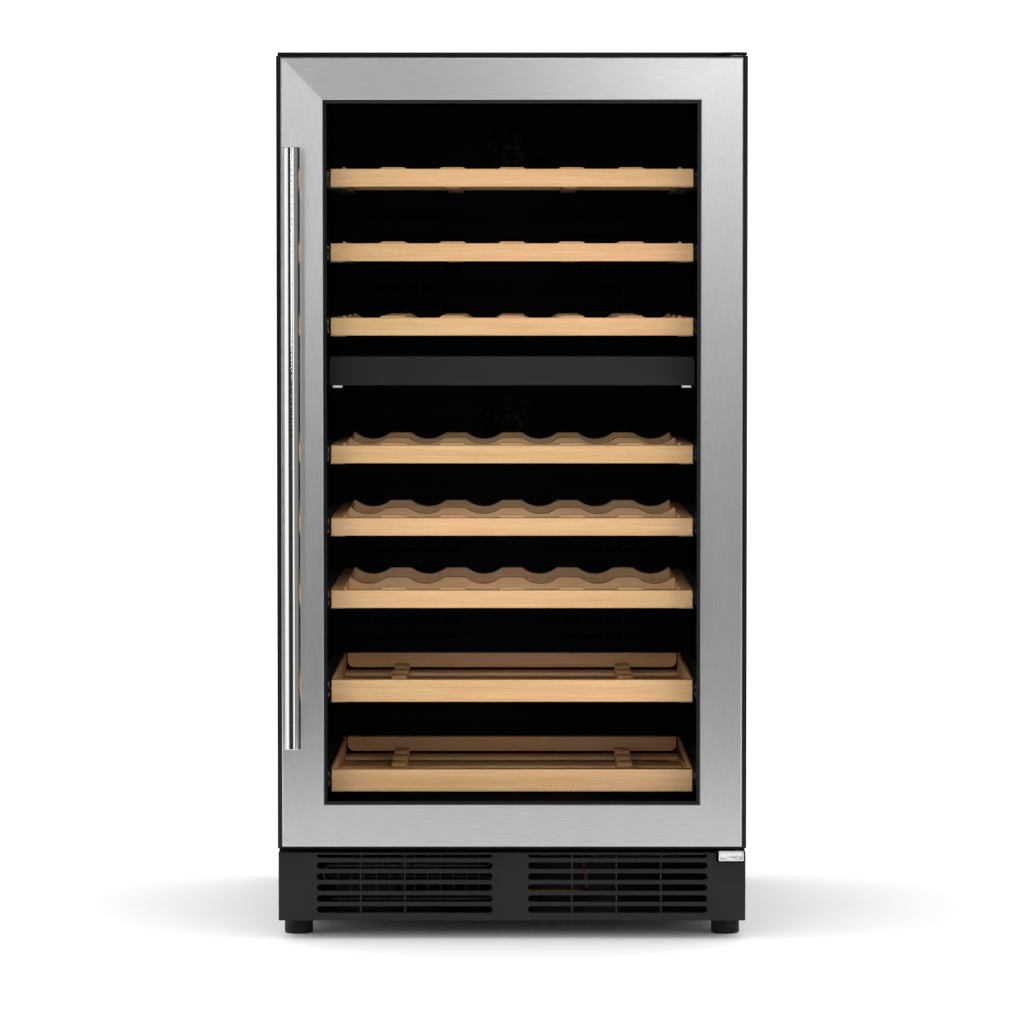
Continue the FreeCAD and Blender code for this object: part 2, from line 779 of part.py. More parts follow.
def rear_cover():
    """Louvred steel plate over the machine bay, cut out for the power inlet."""
    plate = box(-x_foam, x_foam, y_panel, y_skin, foot_height, bay_ceiling)
    x, z = inlet_place()
    x0, x1 = -x_foam + louvre_margin, x - inlet_width / 2 - louvre_margin
    column_pitch = louvre_length + louvre_gap
    columns = int((x1 - x0 + louvre_gap) // column_pitch)
    x0 = (x0 + x1 - columns * column_pitch + louvre_gap) / 2
    rows = int((bay_ceiling - foot_height - 2 * louvre_margin) // louvre_pitch) + 1
    cuts = []
    for row in range(rows):
        for column in range(columns):
            z_slot = foot_height + louvre_margin + row * louvre_pitch
            x_slot = x0 + column * column_pitch
            cuts.append(rounded_slot(x_slot, x_slot + louvre_length, y_panel - 1, y_back,
                                     z_slot, louvre_height))
    cuts.append(box(x - inlet_width / 2 - part_gap, x + inlet_width / 2 + part_gap, y_panel - 1, y_back + 1,
                    z - inlet_height / 2 - part_gap, z + inlet_height / 2 + part_gap))
    return plate.cut(Part.makeCompound(cuts))


def inlet_place():
    """Centre of the inlet, low on the hinge side of the rear cover."""
    return x_side - inlet_from_side, foot_height + inlet_above_base


def power_inlet():
    """Three-pin appliance inlet, recessed, in the rear cover."""
    x, z = inlet_place()
    half_w, half_h = inlet_width / 2, inlet_height / 2
    body = box(x - half_w, x + half_w, y_back - inlet_depth, y_back - inlet_recess, z - half_h, z + half_h)
    socket = box(x - half_w + 1.8, x + half_w - 1.8, y_back - inlet_depth + socket_wall, y_back,
                 z - half_h + 2, z + half_h - 2)
    socket = socket.makeFillet(socket_wall, edges_along(socket, (0, 1, 0), lambda c: c.z > z))
    flange = box(x - half_w - 6, x + half_w + 6, y_panel - 2, y_panel, z - half_h - 4, z + half_h + 4)
    shell = fused([body, flange]).cut(socket)
    blades = []
    for dx, dz in ((-blade_spacing / 2, -2), (0, 2), (blade_spacing / 2, -2)):
        blades.append(box(x + dx - blade_width / 2, x + dx + blade_width / 2,
                          y_back - inlet_depth + socket_wall, y_back - blade_setback,
                          z + dz - blade_height / 2, z + dz + blade_height / 2))
    return group([shell] + blades)


def kick_grille():
    """Moulded plinth with two fields of rounded air slots and thin ribs behind them."""
    y0 = y_door + plinth_projection
    y1 = y_face
    outer = box(-x_side, x_side, y0, y1, foot_height, z_plinth_top)
    outer = outer.makeFillet(plinth_rounding, edges_along(outer, (0, 0, 1), lambda c: c.y < y0 + 1))
    inner = box(-x_side + plinth_wall, x_side - plinth_wall, y0 + plinth_wall, y1,
                foot_height + plinth_wall, z_plinth_top - plinth_wall)
    grille = outer.cut(inner)
    cuts = []
    under_lip = box(-x_side, x_side, y0 - 2, y1, foot_height, z_plinth_top - plinth_wall)
    rows = int((plinth_height - slot_first) // slot_pitch) + 1
    for row in range(rows):
        z = foot_height + slot_first + slot_height / 2 + row * slot_pitch
        for x0, x1 in ((-slot_outer, slot_inner_left), (slot_inner_right, slot_outer)):
            slot = rounded_slot(x0, x1, y0 - 1, y0 + plinth_wall + 1, z, slot_height)
            cuts.append(slot.common(under_lip))
    notch = box(x_arm - foot_plate_notch, x_side - plinth_wall, y0 - 1, y1 + 1,
                z_foot_plate - foot_plate_notch, z_plinth_top + 10)
    lower_left = edges_along(notch, (0, 1, 0), lambda c: c.z < z_plinth_top and c.x < x_hinge)
    cuts.append(notch.makeFillet(notch_rounding, lower_left))
    grille = grille.cut(Part.makeCompound(cuts))
    ribs = []
    for x0, x1 in ((-slot_outer, slot_inner_left), (slot_inner_right, slot_outer)):
        for i in range(1, int((x1 - x0) // slot_rib_pitch)):
            x = x0 + i * slot_rib_pitch - slot_rib / 2
            ribs.append(box(x - slot_rib / 2, x + slot_rib / 2, y0 + plinth_wall,
                            y0 + plinth_wall + slot_rib_depth, foot_height + plinth_wall,
                            z_plinth_top - plinth_wall))
    return fused([grille] + ribs)


def hinge_cap():
    """Plain plate clipped on the front of the bottom hinge bracket."""
    y = y_hinge - foot_plate_front
    plate = box(x_arm, x_side - foot_plate_edge, y - cap_thickness, y,
                z_foot_plate, z_foot_plate + bottom_arm)
    plate = plate.makeFillet(1.0, edges_along(plate, (0, 1, 0), lambda c: True))
    panel = box(x_arm + cap_border, x_side - foot_plate_edge - cap_border,
                y - cap_thickness - 1, y - cap_thickness + cap_recess,
                z_foot_plate + cap_border, z_foot_plate + bottom_arm - cap_border)
    return plate.cut(panel)


# ---------------------------------------------------------------- door
def steel_profile():
    """Section of the brushed steel face bar: front sheet with a return on each edge."""
    t, y = steel_sheet, y_door
    return [(0, y), (steel_bar, y), (steel_bar, y + steel_inner_return),
            (steel_bar - t, y + steel_inner_return), (steel_bar - t, y + t), (t, y + t),
            (t, y + steel_return), (0, y + steel_return)]


def door_core_bars():
    """Door frame extrusions, mitred; the end bars have a thinner lip than the side bars."""
    rebate_front = y_door + glass_recess - part_gap
    rebate_rear = y_door + glass_recess + 2 * glass_thickness + glass_gap + part_gap
    t = steel_sheet
    groove = t + 2 * fit_gap
    half_x, z0, z1 = x_steel, z_steel_bottom, z_steel_top
    outline = [(t + groove, y_door + t), (steel_bar - t - 0.1, y_door + t),
               (steel_bar - t - 0.1, rebate_front), (steel_bar - glass_edge - part_gap, rebate_front),
               (steel_bar - glass_edge - part_gap, rebate_rear),
               (steel_bar - core_rear_opening, rebate_rear), (steel_bar - core_rear_opening, y_door_rear),
               (0, y_door_rear), (0, y_door + steel_return + part_gap),
               (t + groove, y_door + steel_return + part_gap)]
    bars = mitred_ring(half_x, z0, z1, outline)
    left = box(-x_door, -x_steel - 0.1, y_door + lip_setback, y_door_rear, z_steel_bottom, z_steel_top)
    left = left.fuse(box(-x_steel - 0.1, -x_steel, y_door + steel_return + part_gap, y_door_rear,
                         z_steel_bottom, z_steel_top))
    top = box(-x_door, x_door, y_door + lip_setback, y_door_rear, z_steel_top + 0.1, z_door_top)
    top = top.fuse(box(-x_steel, x_steel, y_door + steel_return + part_gap, y_door_rear,
                       z_steel_top, z_steel_top + 0.1))
    corner = box(-x_door, -x_steel, y_door + lip_setback, y_door_rear, z_steel_top, z_steel_top + 0.1)
    top = top.fuse(corner).fuse(mirrored(corner))
    bottom = top.mirror(V(0, 0, (z_steel_top + z_steel_bottom) / 2), V(0, 0, 1))
    lips = [left, mirrored(left), bottom, top]
    return [fused([bar, lip]) for bar, lip in zip(bars, lips)]


def door_core():
    """Black door frame with holes for the hinge bushes and the handle screws."""
    bars = door_core_bars()
    cuts = []
    for z, way in ((z_door_top, -1), (z_door_bottom, 1)):
        cuts.append(cylinder(bush_diameter / 2 + fit_gap, bush_length + part_gap,
                             (x_hinge, y_hinge, z), (0, 0, way)))
    for z in handle_post_heights():
        x = handle_x()
        hole = handle_screw_diameter / 2 + screw_clearance
        cuts.append(cylinder(hole, door_thickness + 2, (x, y_door - 1, z), (0, 1, 0)))
        cuts.append(cylinder(screw_head / 2 + 1, handle_screw_seat + 1,
                             (x, y_door_rear - handle_screw_seat, z), (0, 1, 0)))
    return group([bar.cut(Part.makeCompound(cuts)) for bar in bars])


def door_skin():
    """Brushed stainless face: four folded bars welded at the mitres."""
    bars = mitred_ring(x_steel, z_steel_bottom, z_steel_top, steel_profile())
    holes = [cylinder(handle_screw_diameter / 2 + screw_clearance, 4, (handle_x(), y_door - 1, z), (0, 1, 0))
             for z in handle_post_heights()]
    return group([bar.cut(Part.makeCompound(holes)) for bar in bars])


def glass_pane(y):
    """One toughened pane of the double-glazed unit, edges eased."""
    x = x_opening + glass_edge
    pane = box(-x, x, y, y + glass_thickness, z_opening_bottom - glass_edge, z_opening_top + glass_edge)
    return pane.makeFillet(3.0, edges_along(pane, (0, 1, 0), lambda c: True))


def glass_outer():
    return glass_pane(y_door + glass_recess)


def glass_inner():
    return glass_pane(y_door + glass_recess + glass_thickness + glass_gap)


def glass_spacer():
    """Sealed spacer frame between the panes."""
    x, y0 = x_opening + glass_edge - 1, y_door + glass_recess + glass_thickness
    z0, z1 = z_opening_bottom - glass_edge + 1, z_opening_top + glass_edge - 1
    outer = box(-x, x, y0, y0 + glass_gap, z0, z1)
    w = spacer_width
    return outer.cut(box(-x + w, x - w, y0 - 1, y0 + glass_gap + 1, z0 + w, z1 - w))


def glazing_bead():
    """Black sloping bead between the steel face and the outer pane."""
    y0, y1 = y_door + bead_front, y_door + glass_recess - fit_gap
    outline = [(0, y0), (bead_width * 0.45, y0), (bead_width, y1), (0, y1)]
    return fused(mitred_ring(x_opening - fit_gap, z_opening_bottom + fit_gap,
                             z_opening_top - fit_gap, outline))


def door_gasket():
    """Magnetic bulb gasket round the rear of the door, with two soft folds."""
    x_out = x_hinge
    inner = gasket_width
    y0, y1 = y_door_rear, y_face - part_gap
    mid, fold = (y0 + y1) / 2, gasket_fold
    outline = [(2, y0), (inner - 2, y0), (inner, mid - 1), (inner - fold, mid), (inner, mid + 1),
               (inner - 1, y1), (1, y1), (0, mid + 1), (fold, mid), (0, mid - 1)]
    z0, z1 = floor_height - gasket_overlap - gasket_width, z_liner_top + gasket_overlap + gasket_width
    return fused(mitred_ring(x_out, z0, z1, outline))


def handle_x():
    return -x_side + handle_edge


def handle_span():
    return z_door_bottom + handle_bottom_above_door, z_door_top - handle_top_below_door


def handle_post_heights():
    z0, z1 = handle_span()
    return [z0 + handle_post_inset, z1 - handle_post_inset]


def handle_bar():
    """Straight steel tube with closed flat ends."""
    z0, z1 = handle_span()
    y = y_door - handle_standoff
    tube = cylinder(handle_diameter / 2, z1 - z0, (handle_x(), y, z0))
    rims = [e for e in tube.Edges if e.Curve.TypeId == "Part::GeomCircle"]
    tube = tube.makeFillet(handle_rim, rims)
    bore = cylinder(handle_diameter / 2 - handle_wall, z1 - z0 - 2 * handle_wall,
                    (handle_x(), y, z0 + handle_wall))
    return tube.cut(bore)


def handle_posts():
    """Two turned posts that stand the tube off the door."""
    posts = []
    tube = cylinder(handle_diameter / 2 + fit_gap, cabinet_height, (handle_x(), y_door - handle_standoff, 0))
    for z in handle_post_heights():
        post = cylinder(handle_post_diameter / 2, handle_standoff, (handle_x(), y_door, z), (0, -1, 0))
        bore = cylinder(handle_screw_diameter / 2 + fit_gap, handle_screw_engagement + part_gap,
                        (handle_x(), y_door, z), (0, -1, 0))
        posts.append(post.cut(tube).cut(bore))
    return group(posts)


def handle_screws():
    """Machine screws from behind the door frame into the posts."""
    screws = []
    for z in handle_post_heights():
        seat = y_door_rear - handle_screw_seat
        shank = cylinder(handle_screw_diameter / 2, seat - y_door + handle_screw_engagement,
                         (handle_x(), seat, z), (0, -1, 0))
        head = cylinder(screw_head / 2, screw_head_height, (handle_x(), seat, z), (0, 1, 0))
        corners = [math.radians(angle) for angle in range(0, 360, 60)]
        socket = prism([(handle_x() + 2 * math.cos(a), seat + 1.5, z + 2 * math.sin(a)) for a in corners],
                       (0, screw_head_height, 0))
        screws.append(fused([shank, head]).cut(socket))
    return group(screws)


def hinge_bushes():
    """Flanged nylon bushes pressed into the door's top and bottom edges."""
    bushes = []
    for z, way in ((z_door_top, 1), (z_door_bottom, -1)):
        body = cylinder(bush_diameter / 2, bush_length, (x_hinge, y_hinge, z), (0, 0, -way))
        flange = cylinder(bush_diameter / 2 + 2.5, bush_flange, (x_hinge, y_hinge, z), (0, 0, way))
        bore = cylinder(pin_diameter / 2 + shaft_gap, pin_length + bush_flange + part_gap,
                        (x_hinge, y_hinge, z + way * bush_flange), (0, 0, -way))
        bushes.append(fused([body, flange]).cut(bore))
    return group(bushes)


def hinge_brackets():
    """Top and bottom steel arms with fixed pins; the plates lie on the cabinet's corners."""
    brackets = []
    spans = ((z_hinge_plate, top_arm, z_door_top + bush_flange, -1, x_side - 0.4, plate_length, 9.0),
             (z_foot_plate, bottom_arm, z_door_bottom - bush_flange, 1, x_side - foot_plate_edge,
              foot_plate_length, 2.0))
    for z, thick, z_bush, way, x_end, length, corner in spans:
        arm = box(x_arm, x_end, y_hinge - foot_plate_front, y_face + length, z, z + thick)
        front = edges_along(arm, (0, 0, 1), lambda c: c.y < y_hinge)
        arm = arm.makeFillet(corner, front)
        z_arm = z if way < 0 else z + thick
        reach = abs(z_bush - z_arm) + pin_length
        pin = cylinder(pin_diameter / 2, reach, (x_hinge, y_hinge, z_arm), (0, 0, way))
        brackets.append(fused([arm, pin]))
    return group(brackets)


# ---------------------------------------------------------------- shelves, trays and runners
def scallop_places():
    """Centres of the bottle places across a shelf."""
    count = int((shelf_width - 2 * side_bar - scallop_width) // bottle_pitch) + 1
    return [(i - (count - 1) / 2) * bottle_pitch for i in range(count)]


def shelf_wood(z):
    """Beech shelf: front rail, side bars, scalloped cradle bars and two battens."""
    x = shelf_width / 2
    y1 = y_shelf + rail_thickness
    rail = box(-x, x, y_shelf, y1, z, z + rail_height)
    rail = rail.makeFillet(wood_rounding, edges_along(rail, (1, 0, 0), lambda c: c.y < y_shelf + 1)
                           + edges_along(rail, (0, 0, 1), lambda c: c.y < y_shelf + 1))
    side = box(-x, -x + side_bar, y1, y_shelf_back, z, z + rail_height)
    pieces = [rail, side, mirrored(side)]
    top = z + rail_height + cradle_rise
    drop = math.sqrt(bottle_radius ** 2 - (scallop_width / 2) ** 2)
    step = (y_shelf_back - y1 - cradle_bar) / (cradle_count - 1)
    for i in range(cradle_count):
        y = y1 + i * step
        bar = box(-x + side_bar, x - side_bar, y, y + cradle_bar, z + cradle_base, top)
        cuts = [cylinder(bottle_radius, cradle_bar + 2, (cx, y - 1, top + drop), (0, 1, 0))
                for cx in scallop_places()]
        pieces.append(bar.cut(Part.makeCompound(cuts)))
    half = batten_width / 2
    for cx in (-bottle_pitch, bottle_pitch):
        pieces.append(box(cx - half, cx + half, y1, y_shelf_back, z, z + cradle_base))
    return group(pieces)


def tray_wood(z):
    """Beech pull-out tray: front, thin sides, rounded back rail and floor slats with a cradle."""
    x = shelf_width / 2
    y1 = y_shelf + rail_thickness
    front = box(-x, x, y_shelf, y1, z, z + tray_height)
    front = front.makeFillet(wood_rounding, edges_along(front, (1, 0, 0), lambda c: c.y < y_shelf + 1)
                             + edges_along(front, (0, 0, 1), lambda c: c.y < y_shelf + 1))
    side = box(-x, -x + tray_side, y1, y_shelf_back, z, z + tray_height)
    x_back = x - tray_side - tray_back_gap
    back = box(-x_back, x_back, y_shelf_back - rail_thickness, y_shelf_back,
               z + tray_back_lift + tray_slat, z + tray_height)
    low = edges_along(back, (0, 1, 0), lambda c: c.z < z + tray_height / 2)
    back = back.makeFillet(tray_back_corner, low)
    pieces = [front, side, mirrored(side), back]
    x_in, half = x - tray_side, tray_cradle_width / 2
    y_first, y_last = y1 + tray_slat_gap, y_shelf_back - tray_slat_width
    for slat in range(tray_slat_count):
        y = y_first + slat * (y_last - y_first) / (tray_slat_count - 1)
        pieces.append(box(-x_in, x_in, y, y + tray_slat_width, z, z + tray_slat))
    z_slat = z + tray_slat
    for cx in (-tray_cradle_offset, tray_cradle_offset):
        block = box(cx - half, cx + half, y_first, y_last, z_slat, z_slat + tray_cradle_height)
        row = y_first + bottle_radius + 4
        cuts = []
        while row + bottle_radius < y_last:
            cuts.append(cylinder(bottle_radius, tray_cradle_width + 4,
                                 (cx - half - 2, row, z_slat + tray_cradle_web + bottle_radius), (1, 0, 0)))
            row += 2 * bottle_radius + tray_bottle_gap
        pieces.append(block.cut(Part.makeCompound(cuts)))
    return group(pieces)


def runner_pair(z, height):
    """Folded steel angles under the sides of the wood, each with a tongue that slides in a rail."""
    x = shelf_width / 2
    y0, y1 = y_shelf + runner_setback, y_shelf_back
    flange = box(-x - runner_sheet, -x + runner_flange, y_shelf + runner_flange_setback, y1,
                 z - runner_sheet, z)
    web = box(-x - runner_sheet, -x, y0, y1, z, z + runner_web_height)
    z_mid = z + height / 2
    tongue = box(-x - runner_sheet - tongue_reach, -x - runner_sheet, y0, y1,
                 z_mid - tongue_height / 2, z_mid + tongue_height / 2)
    left = fused([flange, web, tongue])
    return group([left, mirrored(left)])


def slide_rails():
    """Eight pairs of steel channels on the liner's side walls."""
    rails = []
    levels = [(z, rail_height) for z in z_shelves] + [(z, tray_height) for z in z_trays]
    for z, height in levels:
        z_mid = z + height / 2
        half = rail_channel_height / 2
        x_inner = shelf_width / 2 + runner_sheet + rail_side_gap
        outer = box(-x_liner, -x_inner, y_shelf + runner_setback - rail_front_reach,
                    y_shelf_back + rail_rear_reach, z_mid - half, z_mid + half)
        slot_half = tongue_height / 2 + running_gap
        y0, y1 = y_shelf, y_shelf_back + rail_rear_reach / 2
        hollow = box(-x_liner + rail_sheet, -x_inner - rail_sheet, y0, y1, z_mid - half + rail_sheet,
                     z_mid + half - rail_sheet)
        mouth = box(-x_liner + rail_sheet, -x_inner + 1, y0, y1, z_mid - slot_half, z_mid + slot_half)
        rail = outer.cut(hollow).cut(mouth)
        rails += [rail, mirrored(rail)]
    return group(rails)


# ---------------------------------------------------------------- screws
def screws():
    """Pan-head screws of the rear cover and the hinge plates."""
    pieces = []
    for x in (-x_side + screw_inset, 0, x_side - screw_inset):
        for z in (foot_height + 10, bay_ceiling - 8):
            pieces.append(cylinder(screw_head / 2, rear_recess - part_gap, (x, y_skin, z), (0, 1, 0)))
    return group(pieces)


# ---------------------------------------------------------------- build and write every node
def build_nodes():
    nodes = {
        "side_panel_left": side_panel(),
        "side_panel_right": mirrored(side_panel()),
        "top_cover": top_cover(),
        "back_panel": back_panel(),
        "base_pan": base_pan(),
        "wall_foam": wall_foam(),
        "inner_liner": inner_liner(),
        "face_frame": face_frame(),
        "zone_divider": zone_divider(),
        "control_panel": control_panel(),
        "control_board": control_board(),
        "interior_lights": interior_lights(),
        "duct_covers": duct_covers(),
        "evaporators": evaporators(),
        "slide_rails": slide_rails(),
        "kick_grille": kick_grille(),
        "compressor": compressor(),
        "condenser": condenser(),
        "fan_shrouds": group([fan_shroud(c) for c in fan_centres()]),
        "refrigerant_pipes": refrigerant_pipes(),
        "drip_tray": drip_tray(),
        "rear_cover": rear_cover(),
        "power_inlet": power_inlet(),
        "hinge_brackets": hinge_brackets(),
        "hinge_cap": hinge_cap(),
        "screws": screws(),
        "door_skin": door_skin(),
        "door_core": door_core(),
        "glazing_bead": glazing_bead(),
        "glass_outer": glass_outer(),
        "glass_inner": glass_inner(),
        "glass_spacer": glass_spacer(),
        "door_gasket": door_gasket(),
        "handle_bar": handle_bar(),
        "handle_posts": handle_posts(),
        "handle_screws": handle_screws(),
        "hinge_bushes": hinge_bushes(),
    }
    for name, centre in zip(("fan_upper", "fan_lower", "condenser_fan"), fan_centres()):
        nodes[name] = fan_rotor(centre)
    names = ("foot_front_left", "foot_front_right", "foot_rear_left", "foot_rear_right")
    for name, (x, y) in zip(names, foot_places()):
        nodes[name] = levelling_foot(x, y)
    for number, z in enumerate(z_shelves, 1):
        nodes[f"shelf_{number}_wood"] = shelf_wood(z)
        nodes[f"shelf_{number}_runners"] = runner_pair(z, rail_height)
    for number, z in enumerate(z_trays, 1):
        nodes[f"drawer_{number}_wood"] = tray_wood(z)
        nodes[f"drawer_{number}_runners"] = runner_pair(z, tray_height)
    return nodes


os.makedirs("parts", exist_ok=True)
for node_name, node_shape in build_nodes().items():
    node_shape.exportStep(os.path.join("parts", node_name + ".step"))
    volume = node_shape.Volume / 1000
    print(f"{node_name}: {len(node_shape.Solids)} solids, {volume:.0f} cm3, valid {node_shape.isValid()}")
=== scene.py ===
import bpy
import json
import math
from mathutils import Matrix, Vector


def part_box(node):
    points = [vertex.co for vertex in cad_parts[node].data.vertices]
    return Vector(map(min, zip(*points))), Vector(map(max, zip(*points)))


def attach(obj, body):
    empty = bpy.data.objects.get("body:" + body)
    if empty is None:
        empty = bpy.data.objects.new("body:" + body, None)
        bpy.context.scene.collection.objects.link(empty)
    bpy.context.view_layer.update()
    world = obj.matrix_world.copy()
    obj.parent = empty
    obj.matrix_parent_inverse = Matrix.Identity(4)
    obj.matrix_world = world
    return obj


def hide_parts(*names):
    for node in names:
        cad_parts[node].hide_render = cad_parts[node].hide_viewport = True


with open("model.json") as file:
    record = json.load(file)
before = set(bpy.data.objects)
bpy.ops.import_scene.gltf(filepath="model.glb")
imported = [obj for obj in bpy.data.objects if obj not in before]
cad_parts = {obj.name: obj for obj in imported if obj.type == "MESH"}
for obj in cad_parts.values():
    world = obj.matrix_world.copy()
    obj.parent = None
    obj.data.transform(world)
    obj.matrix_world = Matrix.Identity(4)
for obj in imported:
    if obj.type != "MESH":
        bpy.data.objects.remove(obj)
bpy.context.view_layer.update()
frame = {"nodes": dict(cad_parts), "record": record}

nodes = frame["nodes"]
bodies = frame["record"]["behaviour"]["bodies"]
bodyOfNode = {node: body for body, members in bodies.items() for node in members}
slotOfNode = {name: node.data.materials[0].name for name, node in nodes.items()}
doorLow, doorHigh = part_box("door_skin")
print("frame loaded:", len(nodes), "nodes")


# small helpers
def mm(value):
    return value / 1000


def linearColour(hexCode):
    # sRGB hex to the linear values that the shaders want
    channels = [int(hexCode[i:i + 2], 16) / 255 for i in (1, 3, 5)]
    return tuple(c / 12.92 if c <= 0.04045 else ((c + 0.055) / 1.055) ** 2.4 for c in channels) + (1.0,)


def addNode(tree, kind, values=None, links=None, stops=(), **settings):
    # a link comes from a socket, or from the first output of a node; stops are a ramp's colours or levels
    node = tree.nodes.new(kind)
    for name, value in settings.items():
        setattr(node, name, value)
    for socket, value in (values or {}).items():
        node.inputs[socket].default_value = value
    for socket, source in (links or {}).items():
        tree.links.new(getattr(source, "outputs", [source])[0], node.inputs[socket])
    if stops:
        elements = node.color_ramp.elements
        while len(elements) < len(stops):
            elements.new(0.5)
        for element, (position, shade) in zip(elements, stops):
            colour = linearColour(shade) if isinstance(shade, str) else (shade, shade, shade, 1)
            element.position, element.color = position, colour
    return node


def selectOnly(piece):
    bpy.ops.object.select_all(action="DESELECT")
    piece.select_set(True)
    bpy.context.view_layer.objects.active = piece


def pick(piece, kind, test):
    # in edit mode, with just the faces or edges selected whose middle passes the test
    bpy.ops.object.mode_set(mode="EDIT")
    bpy.ops.mesh.select_mode(type=kind)
    bpy.ops.mesh.select_all(action="DESELECT")
    bpy.ops.object.mode_set(mode="OBJECT")
    mesh = piece.data
    for part in (mesh.polygons if kind == "FACE" else mesh.edges):
        corners = [mesh.vertices[i].co for i in part.vertices]
        part.select = bool(test(sum(corners, Vector()) / len(corners)))
    bpy.ops.object.mode_set(mode="EDIT")


def applyModifier(piece, kind, **settings):
    modifier = piece.modifiers.new(kind.lower(), kind)
    for name, value in settings.items():
        setattr(modifier, name, value)
    bpy.ops.object.modifier_apply(modifier=modifier.name)


def settle(piece, name, body, slot, *replaced):
    # place goes into the mesh, then the piece joins its body
    selectOnly(piece)
    bpy.ops.object.transform_apply(location=True, rotation=True, scale=True)
    piece.name = piece.data.name = name
    piece.data.materials.clear()
    piece.data.materials.append(finishes[slot])
    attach(piece, body)
    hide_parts(*replaced)
    return piece


# materials
def startMaterial(name, colour, roughness, metallic=0.0, ior=None):
    material = bpy.data.materials.new(name)
    material.use_nodes = True
    tree = material.node_tree
    surface = tree.nodes["Principled BSDF"]
    surface.inputs["Base Color"].default_value = linearColour(colour)
    surface.inputs["Roughness"].default_value = roughness
    surface.inputs["Metallic"].default_value = metallic
    if ior:
        surface.inputs["IOR"].default_value = ior
    return material, tree, surface


def placeOn(tree, size, stretch=(1, 1, 1)):
    # the piece's own coordinates, scaled so that one unit is a real size in millimetres
    own = addNode(tree, "ShaderNodeTexCoord").outputs["Object"]
    scale = [1 / (mm(size) * s) for s in stretch]
    return addNode(tree, "ShaderNodeMapping", {"Scale": scale}, {"Vector": own})


def linkTo(tree, surface, sources):
    for socket, source in sources.items():
        tree.links.new(source.outputs[0], surface.inputs[socket])


noiseRange = {"From Min": 0.3, "From Max": 0.7}  # nearly all of a noise lies between these


def powderCoat(name, colour, light, roughness, specular=0.5):
    # powder-coated steel: a low sheen over a fine orange peel
    material, tree, surface = startMaterial(name, colour, roughness)
    surface.inputs["Specular IOR Level"].default_value = specular
    peel = addNode(tree, "ShaderNodeTexNoise", {"Scale": 1.0, "Detail": 2.0}, {"Vector": placeOn(tree, 1.6)})
    cloud = addNode(tree, "ShaderNodeTexNoise", {"Scale": 1.0, "Detail": 2.0},
                    {"Vector": placeOn(tree, 140.0)})
    gloss = {**noiseRange, "To Min": roughness - 0.04, "To Max": roughness + 0.06}
    linkTo(tree, surface, {
        "Base Color": addNode(tree, "ShaderNodeValToRGB", None, {"Fac": cloud},
                              ((0.3, colour), (0.7, light))),
        "Roughness": addNode(tree, "ShaderNodeMapRange", gloss, {"Value": cloud}),
        "Normal": addNode(tree, "ShaderNodeBump", {"Strength": 0.5, "Distance": mm(0.05)}, {"Height": peel}),
    })
    return material


def galvanisedSheet():
    # hot-dip galvanised sheet: flat crystals of zinc, each with its own grey and gloss
    material, tree, surface = startMaterial("galvanised sheet", "#9a9ea1", 0.42, 1.0)
    crystals = addNode(tree, "ShaderNodeTexVoronoi", {"Scale": 1.0}, {"Vector": placeOn(tree, 9.0)})
    shade = addNode(tree, "ShaderNodeSeparateColor", None, {"Color": crystals.outputs["Color"]})
    greys = ((0.0, "#8c9093"), (1.0, "#a3a7a9"))
    gloss = {"From Min": 0.0, "From Max": 1.0, "To Min": 0.34, "To Max": 0.52}
    linkTo(tree, surface, {
        "Base Color": addNode(tree, "ShaderNodeValToRGB", None, {"Fac": shade}, greys),
        "Roughness": addNode(tree, "ShaderNodeMapRange", gloss, {"Value": shade}),
    })
    return material


def brushedStainless():
    # 304 stainless, finely belt-brushed along each bar: a satin grey with soft, slightly stretched highlights
    material, tree, surface = startMaterial("brushed stainless steel", "#c2c2c2", 0.3, 1.0)
    surface.inputs["Anisotropic"].default_value = 0.45
    surface.inputs["Anisotropic Rotation"].default_value = 0.25
    place = addNode(tree, "ShaderNodeUVMap", uv_map="grain")
    # real scratches are 0.1 mm apart; they are drawn 0.9 mm apart to show
    fine = addNode(tree, "ShaderNodeMapping", {"Scale": (1 / mm(28), 1 / mm(0.9), 1.0)}, {"Vector": place})
    broad = addNode(tree, "ShaderNodeMapping", {"Scale": (1 / mm(300), 1 / mm(30), 1.0)}, {"Vector": place})
    scratches = addNode(tree, "ShaderNodeTexNoise", {"Scale": 1.0, "Detail": 4.0, "Roughness": 0.6},
                        {"Vector": fine})
    bands = addNode(tree, "ShaderNodeTexNoise", {"Scale": 1.0, "Detail": 2.0}, {"Vector": broad})
    greys = ((0.3, "#b9b9b9"), (0.7, "#c9c9c9"))
    gloss = {**noiseRange, "To Min": 0.29, "To Max": 0.31}
    linkTo(tree, surface, {
        "Base Color": addNode(tree, "ShaderNodeValToRGB", None, {"Fac": scratches}, greys),
        "Roughness": addNode(tree, "ShaderNodeMapRange", gloss, {"Value": bands}),
        "Normal": addNode(tree, "ShaderNodeBump", {"Strength": 0.2, "Distance": mm(0.006)},
                          {"Height": scratches}),
        "Tangent": addNode(tree, "ShaderNodeTangent", direction_type="UV_MAP", uv_map="grain"),
    })
    return material


